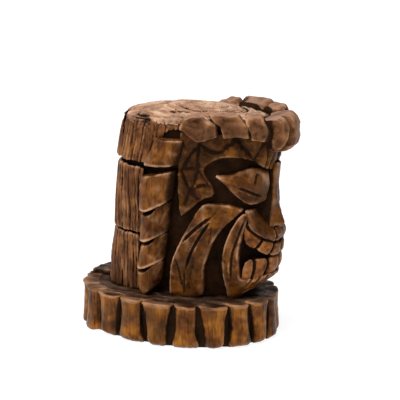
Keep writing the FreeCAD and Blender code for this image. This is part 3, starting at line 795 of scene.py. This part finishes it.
LOWER_LIP = (
    (-35.6, 39.6), (-33, 39.4), (-30, 35.5), (-27.6, 30.6), (-25.5, 24.9), (-24.3, 19.3), (-24.2, 12.3),
    (-25, 6.9), (-25.6, -2), (-28.6, -2), (-30.4, 1.8), (-33.5, 3.4), (-38.4, 5.4), (-42.6, 9), (-70, 9.4),
    (-70, 12), (-43.2, 12.2), (-38.2, 11), (-35.3, 10.4), (-31.6, 9.4), (-31.4, 13), (-31, 19.3),
    (-31.7, 24.2), (-32.9, 28.4), (-34, 32.4),
)
LIP_LINES = (
    (((-34.9, 38.6), (-33.2, 33.3), (-30.2, 24.8), (-29.1, 21.3), (-28.3, 14.2), (-28.2, 8)), 0.8, 0.9),
    (((-26.4, 25), (-26, 18), (-26.6, 9)), 0.8, 0.35),
)
UPPER_TEETH = (
    (-33, 35), (-38, 32.4), (-45, 28), (-70, 27.4), (-70, 18), (-44.2, 19.2), (-41.8, 20.4), (-38.9, 22.6),
    (-34.5, 25.2), (-33.5, 28),
)
LOWER_TEETH = (
    (-34, 18.5), (-38.7, 18.9), (-70, 18.7), (-70, 11), (-42, 10.6), (-36.6, 9.6), (-31.4, 8.6),
    (-32.2, 13.4),
)


def nose_half(height):
    """Half width of the nose and its side gaps."""
    return np.interp(height, (30, 33, 37, 44, 50, 60), (5, 6.4, 6, 3.4, 2.7, 2.6))


def face_piece(node, outline, proud, crown, edge_soft, lines, extra, seed, bevel=0.5, front_lines=(),
               shade=0):
    """A carved lump of the face: a side-view outline, a height with bevelled edges, and knife lines,
    each with its half width and depth. Front lines are placed round the head instead, and shade
    darkens the whole piece evenly."""
    outline = rounded(outline, 1)

    def shape(x, y, z):
        height = z - TOP
        edge = outline_distance(outline, y, height)
        dome = proud - bevel * ramp(edge, -1.6, 0) + crown * ramp(-edge, 0, 5)
        lump = smooth_max(head_distance(x, y, height) - dome, edge, edge_soft)
        if extra is not None:
            lump = extra(lump, x, y, height)
        return smooth_max(lump, -SEAT_DEPTH - head_distance(x, y, height), 0.4)

    def relief(x, y, z):
        fibre = noise(x / 3, y / 3, z / 0.9, seed + 1)
        return knife_facets(x, y, z, 3.8, 0.16, seed) - 0.05 * thin(fibre, 2.5)

    def marks(x, y, z):
        front = deepest_cut(front_lines, np.abs(around(x, y)), z - TOP, taper=False)
        return np.maximum(deepest_cut(lines, y, z - TOP), front)

    def rubbed_light_and_highlight(x, y, z):
        # A light rim along the piece's outline, broken by noise: wear with a painted highlight.
        height = z - TOP
        rim = ramp(np.abs(outline_distance(outline, y, height) + 0.4), 0.6, 0.1)
        uneven = ramp(noise(x / 7, y / 7, z / 7, seed + 2), -0.25, 0.35)
        return 0.6 * rim * uneven * ramp(head_distance(x, y, height), -0.6, 0.2)

    sculpt(node, shape, relief, marks, painted_shade_and_darkening=lambda x, y, z: shade, rubbed_light_and_highlight=rubbed_light_and_highlight, margin=2.2)


def build_face():
    """Eyes and cheeks in pairs, then the lips and the two rows of teeth."""
    def beside_nose(lump, x, y, height):
        return smooth_max(lump, nose_half(height) + 1.2 - np.abs(x), 0.8)

    for side, keep in (("right", 1), ("left", -1)):
        def one_side(lump, x, y, height):
            return smooth_max(beside_nose(lump, x, y, height), keep * x, 0.3)

        face_piece("eye_" + side, EYE, 1.1, 0.8, 1.3, EYE_LINES, one_side, seed=100)
        face_piece("cheek_" + side, CHEEK, 0.9, 0.5, 0.8, CHEEK_LINES, None, bevel=0.4, seed=110)

    def low_centre(lump, x, y, height):
        return lump + 0.25 * ramp(-np.abs(x), -6, 0)

    face_piece("upper_lip", UPPER_LIP, 1.2, 0.5, 0.9, (), low_centre, seed=120,
               front_lines=((((4.2, 31.8), (4.8, 25.4)), 0.8, 0.9),))
    hatch = tuple((((ring, 10.8), (ring + 2.6, 6.2)), 0.7, 0.6) for ring in (3, 6.4, 9.6, 12.6))

    def chin(lump, x, y, height):
        return smooth_max(lump, -height - 0.3, 0.5)

    face_piece("lower_lip", LOWER_LIP, 1, 0.4, 0.9, LIP_LINES, chin, seed=130,
               front_lines=hatch, shade=0.08)

    def toothed(lines):
        def extra(lump, x, y, height):
            ring = np.abs(around(x, y))
            for (top_ring, top), (low_ring, low) in lines:
                slope = (top_ring - low_ring) / (top - low)
                lump = lump + 0.9 * thin((ring - low_ring - slope * (height - low)) / 1.2)
            return lump
        return extra

    def gap_marks(lines):
        return tuple((line, 0.75, 0.8) for line in lines)

    gum = (((-33.6, 34.6), (-35.4, 32.6), (-38.1, 30), (-41, 27.8), (-43.4, 26.4)), 1.1, 0.9)
    front_gum = (((0, 25.2), (4.8, 25.8), (8, 27.2)), 1.1, 0.9)
    upper_gaps = (((0.2, 26), (-0.2, 20)), ((4.8, 25.1), (6.4, 20.8)), ((9.5, 27.8), (11.7, 24.2)))
    face_piece("upper_teeth", UPPER_TEETH, 0.1, 0.3, 0.6, (gum,), toothed(upper_gaps), seed=140,
               front_lines=(front_gum, *gap_marks(upper_gaps)))
    lower_gaps = (((0.2, 18), (-0.2, 11)), ((6.7, 18), (7.2, 11)), ((12.2, 18), (12.5, 11)))
    face_piece("lower_teeth", LOWER_TEETH, 0, 0.4, 0.6, (), toothed(lower_gaps), seed=150,
               front_lines=gap_marks(lower_gaps))


def build_nose():
    def shape(x, y, z):
        height = z - TOP
        levels = (30, 33, 36, 41, 50, 58, 61)
        front = np.interp(height, levels, (-45.6, -47, -46, -43.9, -43.4, -44.2, -44.6))
        ridge = front - y + 0.55 * np.abs(x) * ramp(height, 46, 34)
        tip = NOSE_TIP - height - 0.12 * (y + 46)
        nostril = ((np.abs(x) - 3.9) / 1.5) ** 2 + ((height - 31.4) / 1.5) ** 2 + ((y + 45.5) / 2.6) ** 2
        nostril = 1.4 * (1 - np.sqrt(nostril))
        body = carved(np.abs(x) - nose_half(height), (ridge, 1.6), (height - NOSE_TOP, 0.8), (tip, 1))
        return carved(body, (nostril, 0.5), (-SEAT_DEPTH - head_distance(x, y, height), 0.4))

    def painted_shade_and_darkening(x, y, z):
        # The nose's sides behind its front are darkened: painted shade.
        return 0.85 * ramp(y, -43.2, -41.4) * ramp(np.abs(x), 1.5, 2.4)

    sculpt("nose", shape, lambda x, y, z: knife_facets(x, y, z, 3.4, 0.25, 160), painted_shade_and_darkening=painted_shade_and_darkening, margin=2.2)


def build_dowels():
    """Two fluted pegs, hidden between the plinth and the head."""
    low, high = [np.array(corner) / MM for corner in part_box("head_dowels")]
    radius = (high[0] - low[0]) / 2

    def shape(x, y, z):
        along = np.where(y > 0, y - high[1] + radius, y - low[1] - radius)
        flutes = 0.125 * np.cos(9 * np.arctan2(x, along))
        pegs = np.hypot(x, along) - radius + 0.3 + flutes
        return smooth_max(pegs, np.maximum(low[2] - z, z - high[2]), 1)

    sculpt("head_dowels", shape, margin=1.5)


# ---- materials ----
def add_node(tree, kind, **settings):
    """A shader node with its plain settings and unlinked input values."""
    node = tree.nodes.new(kind)
    for name, value in settings.items():
        if name in node.inputs:
            node.inputs[name].default_value = value
        else:
            setattr(node, name, value)
    return node


def color_ramp(tree, factor, stops):
    """A color ramp fed by factor."""
    node = tree.nodes.new("ShaderNodeValToRGB")
    while len(node.color_ramp.elements) < len(stops):
        node.color_ramp.elements.new(0.5)
    for element, (place, color) in zip(node.color_ramp.elements, stops):
        element.position = place
        element.color = (*color, 1)
    tree.links.new(factor, node.inputs[0])
    return node.outputs[0]


def feed(tree, socket, value):
    """Links a socket to another one, or sets its number or color."""
    if hasattr(value, "links"):
        tree.links.new(value, socket)
    else:
        socket.default_value = (*value, 1) if isinstance(value, tuple) else value


def mix_color(tree, factor, first, second):
    """Mixes two colors, each a socket or a plain color."""
    node = add_node(tree, "ShaderNodeMix", data_type="RGBA")
    for place, value in ((0, factor), (6, first), (7, second)):
        feed(tree, node.inputs[place], value)
    return node.outputs[2]


def scaled(tree, socket, low, high, out_low=0.0, out_high=1.0):
    """Maps a socket's range to another one, clamped."""
    node = tree.nodes.new("ShaderNodeMapRange")
    for place, value in enumerate((socket, low, high, out_low, out_high)):
        feed(tree, node.inputs[place], value)
    return node.outputs[0]


def combine(tree, kind, first, second):
    """A math node on two sockets or numbers."""
    node = add_node(tree, "ShaderNodeMath", operation=kind, use_clamp=True)
    for socket, value in zip(node.inputs, (first, second)):
        feed(tree, socket, value)
    return node.outputs[0]


def wood(name, dark, mid, light, grain=(500, 500, 60), wash_and_shade=1.0, wear_and_highlight=1.0, dust_and_top_shading_amount=0.0, roughness=0.45,
         gloss=0.12, calm=0.0, streaky=0.5, worn_and_highlight=(0.4, 0.2, 0.1), dust_and_top_shading=(0.48, 0.29, 0.21)):
    """Stained wood with a dark wash and painted shade in its hollows, worn edges with painted highlights and
    tops tinted as dust with painted top light. Grain is the streaks' number of lumps a metre along each
    axis.
    """
    material = bpy.data.materials.new(name)
    material.use_nodes = True
    tree = material.node_tree
    shader = tree.nodes["Principled BSDF"]
    place = tree.nodes.new("ShaderNodeTexCoord").outputs["Object"]

    def spot(scale, detail, rough=0.6, stretch=(1, 1, 1), bend=0.0):
        mapping = tree.nodes.new("ShaderNodeMapping")
        mapping.inputs["Scale"].default_value = stretch
        tree.links.new(place, mapping.inputs[0])
        node = add_node(tree, "ShaderNodeTexNoise",
                        Scale=scale, Detail=detail, Roughness=rough, Distortion=bend)
        tree.links.new(mapping.outputs[0], node.inputs["Vector"])
        return node.outputs["Fac"]

    def stored(attribute):
        return add_node(tree, "ShaderNodeAttribute", attribute_name=attribute).outputs["Fac"]

    def plus(first, second):
        return combine(tree, "ADD", first, second)

    def times(first, second):
        return combine(tree, "MULTIPLY", first, second)

    patches = spot(130, 2.0)
    streaks = spot(1.0, 4.0, 0.65, grain, 0.4)
    pores = spot(2.6, 2.0, 0.6, grain)
    speckle = spot(1300, 2.0)
    tone = plus(times(patches, 1 - streaky), times(streaks, streaky))
    color = color_ramp(tree, tone, ((0.37 - 0.1 * calm, dark), (0.48, mid), (0.62 + 0.03 * calm, light)))
    olive = (0.8 * mid[0], 0.95 * mid[1], mid[2])
    color = mix_color(tree, scaled(tree, spot(90, 1.0), 0.5, 0.66, 0.0, 0.6), color, olive)
    in_pores = tuple(0.35 * part for part in dark)
    color = mix_color(tree, scaled(tree, pores, 0.36, 0.5, 0.5, 0.0), color, in_pores)

    # Up-facing points are tinted with dust and painted top light, a pale sheen as from the overhead lamp; on
    # the staves the tint is dark, a painted shade on their tops.
    settled_dust_and_top_shading = times(stored("dust_and_top_shading"), scaled(tree, patches, 0.3, 0.62, 0.5 * dust_and_top_shading_amount, dust_and_top_shading_amount))
    color = mix_color(tree, settled_dust_and_top_shading, color, dust_and_top_shading)
    # Exposed edges and ridges are lightened: wear with a painted highlight.
    rubbed_and_highlight = times(scaled(tree, stored("edge"), 0.08, 0.75), scaled(tree, patches, 0.36, 0.6, 0.25, 1.0))
    color = mix_color(tree, times(rubbed_and_highlight, wear_and_highlight), color, worn_and_highlight)
    # Hollows go near black: the dark wash with painted shade.
    broken = scaled(tree, speckle, 0.35, 0.65, 0.0, 0.2)
    washed_and_shaded = combine(tree, "SUBTRACT", stored("hollow"), broken)
    washed_and_shaded = scaled(tree, washed_and_shaded, 0.02, 0.5, 0.0, wash_and_shade)
    deep = color_ramp(tree, patches, ((0.3, (0.003, 0.001, 0.0005)), (0.7, (0.023, 0.0085, 0.0035))))
    color = mix_color(tree, washed_and_shaded, color, deep)
    tree.links.new(color, shader.inputs["Base Color"])

    satin = scaled(tree, streaks, 0.3, 0.7, roughness - 0.08, roughness + 0.1)
    tree.links.new(plus(satin, times(washed_and_shaded, 0.35)), shader.inputs["Roughness"])
    shader.inputs["Specular IOR Level"].default_value = gloss
    shader.inputs["Specular Tint"].default_value = (1, 0.66, 0.4, 1)
    bump = add_node(tree, "ShaderNodeBump", Strength=0.3, Distance=0.0004)
    tree.links.new(plus(times(streaks, 0.6), times(pores, 0.4)), bump.inputs["Height"])
    tree.links.new(bump.outputs[0], shader.inputs["Normal"])
    return material


def make_materials():
    """The ten woods: their dark, middle and light tones, and how each is finished and painted with light and
    shade.
    """
    dark = (0.022, 0.0055, 0.0015)
    across = (300, 160, 220)            # grain of the carved faces
    rubbed_and_highlight = (0.5, 0.27, 0.15)
    looks = {
        "stave_wood": (
            (dark, (0.115, 0.033, 0.004), (0.28, 0.098, 0.01)),
            # The staves' up-facing tops are tinted dark: painted shade.
            dict(wear_and_highlight=0.6, roughness=0.33, gloss=0.25, streaky=0.3, dust_and_top_shading_amount=1.3, dust_and_top_shading=(0.016, 0.006, 0.003))),
        "plinth_wood": (
            ((0.009, 0.004, 0.002), (0.02, 0.008, 0.004), (0.045, 0.02, 0.011)),
            dict(grain=(500, 90, 300), wear_and_highlight=0.5, roughness=0.4, gloss=0.22, worn_and_highlight=(0.25, 0.15, 0.1))),
        "bark_wood": (
            ((0.03, 0.009, 0.004), (0.105, 0.037, 0.013), (0.28, 0.113, 0.034)),
            dict(wear_and_highlight=0.9, dust_and_top_shading_amount=0.8, roughness=0.5)),
        "braid_wood": (
            (dark, (0.095, 0.029, 0.0055), (0.2, 0.072, 0.013)),
            dict(grain=(350, 350, 80), streaky=0.4, roughness=0.4, gloss=0.15, worn_and_highlight=rubbed_and_highlight)),
        "leaf_wood": (
            (dark, (0.115, 0.043, 0.017), (0.22, 0.094, 0.038)),
            dict(grain=across, calm=1.0, dust_and_top_shading_amount=0.45)),
        "end_grain_wood": (
            ((0.07, 0.028, 0.014), (0.22, 0.105, 0.058), (0.42, 0.235, 0.15)),
            # The cap's up-facing tops are tinted pale: dust with painted top light.
            dict(grain=(420, 150, 300), dust_and_top_shading_amount=0.75, roughness=0.55, worn_and_highlight=(0.55, 0.35, 0.23),
                 dust_and_top_shading=(0.4, 0.22, 0.14))),
        "dowel_wood": (
            ((0.3, 0.18, 0.09), (0.42, 0.27, 0.14), (0.5, 0.34, 0.2)),
            dict(wash_and_shade=0.2, wear_and_highlight=0.2)),
        "core_wood": (
            ((0.018, 0.0052, 0.0017), (0.056, 0.017, 0.0035), (0.155, 0.053, 0.006)),
            dict(grain=across, wear_and_highlight=0.6, worn_and_highlight=(0.3, 0.15, 0.07))),
        "tooth_wood": (
            (dark, (0.2, 0.062, 0.014), (0.38, 0.14, 0.035)),
            dict(grain=across, wear_and_highlight=0.9, calm=0.2, roughness=0.38, gloss=0.15)),
        "face_wood": (
            (dark, (0.075, 0.0215, 0.0035), (0.18, 0.06, 0.007)),
            dict(grain=across, wear_and_highlight=0.8, calm=0.5, streaky=0.3, roughness=0.38, gloss=0.15, worn_and_highlight=rubbed_and_highlight)),
    }
    return {name: wood(name, *tones, **finish) for name, (tones, finish) in looks.items()}


# ---- pieces ----
def blurred(grid, reach):
    """Box blur of a grid by reach cells each way, twice over, which is close to a round blur."""
    for _ in range(2):
        for axis in range(3):
            spread = [(reach + 1, reach) if place == axis else (0, 0) for place in range(3)]
            run = np.cumsum(np.pad(grid, spread, mode="edge"), axis=axis, dtype=np.float64)
            run = np.moveaxis(run, axis, 0)
            size = 2 * reach + 1
            grid = np.moveaxis((run[size:] - run[:-size]) / size, 0, axis).astype(np.float32)
    return grid


def sampled(grid, points):
    """Values of the occupancy grid between its points."""
    place = (points - OCCUPIED_LOW) / CELL
    place = np.clip(place, 0, np.array(grid.shape) - 1.001)
    base = place.astype(int)
    part = place - base
    total = 0.0
    for offset, weight in corner_weights(part.T):
        total = total + weight * grid[tuple((base + offset).T)]
    return total


def make_pieces(materials):
    """Turns the skins into objects whose points know how hollow, how exposed and how much they face up, for
    the dark wash with painted shade, wear with painted highlights, and dust with painted top light.
    """
    close, wide = [blurred(OCCUPIED, max(1, round(reach / CELL))) for reach in (0.8, 2.6)]
    for node, (points, quads, dark, bright) in SHELL.items():
        normals = point_normals(points, quads)
        bend = points - neighbour_mean(points, quads)
        bend = np.sum(bend * normals, axis=1)[:, None] / STEP
        for _ in range(2):
            bend = neighbour_mean(bend, quads)
        bend = bend[:, 0]
        near = sampled(close, points + 0.25 * normals)
        far = sampled(wide, points + 0.8 * normals)
        # Hollow: much wood round a point, as ambient occlusion would find, and creases; the dark wash with
        # painted shade.
        hollow = np.clip(1.7 * (far - 0.42), 0, 1) + np.clip(1.3 * (near - 0.5), 0, 1)
        hollow = hollow + dark + np.clip(-5 * bend - 0.1, 0, 0.6)
        # Edge: exposed points and ridges; wear with a painted highlight.
        edge = np.clip(2.2 * (0.40 - near), 0, 0.7) + np.clip(8 * bend - 0.45, 0, 1) + bright
        # Facing up: where dust and painted top light go.
        dust_and_top_shading = ramp(normals[:, 2], 0.35, 0.95)
        mesh = bpy.data.meshes.new(node + "_carved")
        mesh.from_pydata(points * MM, [], quads)
        for name, values in (("hollow", hollow), ("edge", edge), ("dust_and_top_shading", dust_and_top_shading)):
            layer = mesh.attributes.new(name, "FLOAT", "POINT")
            layer.data.foreach_set("value", np.clip(values, 0, 1).astype(np.float32))
        mesh.materials.append(materials[SLOTS[node]])
        mesh.polygons.foreach_set("use_smooth", np.ones(len(quads), bool))
        mesh.update()
        piece = bpy.data.objects.new(node + "_carved", mesh)
        bpy.context.scene.collection.objects.link(piece)
        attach(piece, "root")
        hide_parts(node)


# ---- stage ----
def look_at(thing, target):
    """Turns a camera or lamp to face a point."""
    direction = Vector(target) - thing.location
    thing.rotation_euler = direction.to_track_quat("-Z", "Y").to_euler()


def add_lamp(name, kind, energy, place, target):
    """A lamp that faces a point."""
    lamp = bpy.data.lights.new(name, kind)
    lamp.energy = energy
    thing = bpy.data.objects.new(name, lamp)
    thing.location = place
    bpy.context.scene.collection.objects.link(thing)
    look_at(thing, target)
    return lamp


def make_stage():
    """Pale floor, soft lights and the camera."""
    scene = bpy.context.scene
    half = 1.6
    grey = 0.22
    corners = [(-half, -half, 0), (half, -half, 0), (half, half, 0), (-half, half, 0)]
    mesh = bpy.data.meshes.new("floor")
    mesh.from_pydata(corners, [], [(0, 1, 2, 3)])
    floor = bpy.data.objects.new("floor", mesh)
    scene.collection.objects.link(floor)
    paper = bpy.data.materials.new("paper")
    paper.use_nodes = True
    surface = paper.node_tree.nodes["Principled BSDF"].inputs
    surface["Base Color"].default_value = (grey, grey, grey, 1)
    surface["Roughness"].default_value = 0.9
    surface["Emission Color"].default_value = (1, 1, 1, 1)
    surface["Emission Strength"].default_value = 0.88
    mesh.materials.append(paper)

    world = bpy.data.worlds.new("studio")
    world.use_nodes = True
    tree = world.node_tree
    axes = tree.nodes.new("ShaderNodeSeparateXYZ")
    tree.links.new(tree.nodes.new("ShaderNodeTexCoord").outputs["Generated"], axes.inputs[0])
    glow = scaled(tree, axes.outputs["Z"], 0.08, 0.16, 1.0, 0.27)
    tree.links.new(glow, tree.nodes["Background"].inputs["Color"])
    scene.world = world
    middle = (0, 0, 0.05)
    add_lamp("soft_overhead", "SUN", 4.0, (-0.45, 0.25, 1.1), middle).angle = math.radians(50)
    add_lamp("front_fill", "AREA", 0.5, (-0.35, -0.8, 0.35), middle).size = 0.4

    azimuth, elevation, distance, view_width = math.radians(-68), math.radians(16), 0.95, 0.1712
    target = Vector((0.0029, -0.0071, 0.0567))
    flat = math.cos(elevation)
    away = Vector((math.sin(azimuth) * flat, -math.cos(azimuth) * flat, math.sin(elevation)))
    camera = bpy.data.objects.new("camera", bpy.data.cameras.new("camera"))
    camera.location = target + away * distance
    camera.data.sensor_width = 36
    camera.data.lens = camera.data.sensor_width * distance / view_width
    look_at(camera, target)
    scene.collection.objects.link(camera)
    scene.camera = camera
    scene.view_settings.view_transform = "Standard"


build_slab()
chance = np.random.default_rng(7)
for index in range(STAVE_COUNT):
    build_stave(index, chance.uniform(-0.6, 0.6), *chance.uniform(-0.3, 0.3, 3))
build_rear_step()
build_core()
build_crown()
for tier in BARK_TIERS:
    for side in ("right", "rear", "left"):
        build_bark_plate(tier, side)
for number in range(1, len(BRAID_CUTS)):
    for side in ("right", "left"):
        build_strand(number, side)
for number in range(1, len(LEAVES) + 1):
    for side in ("right", "left"):
        build_leaf(number, side)
build_knot()
build_face()
build_nose()
build_dowels()
make_pieces(make_materials())
make_stage()
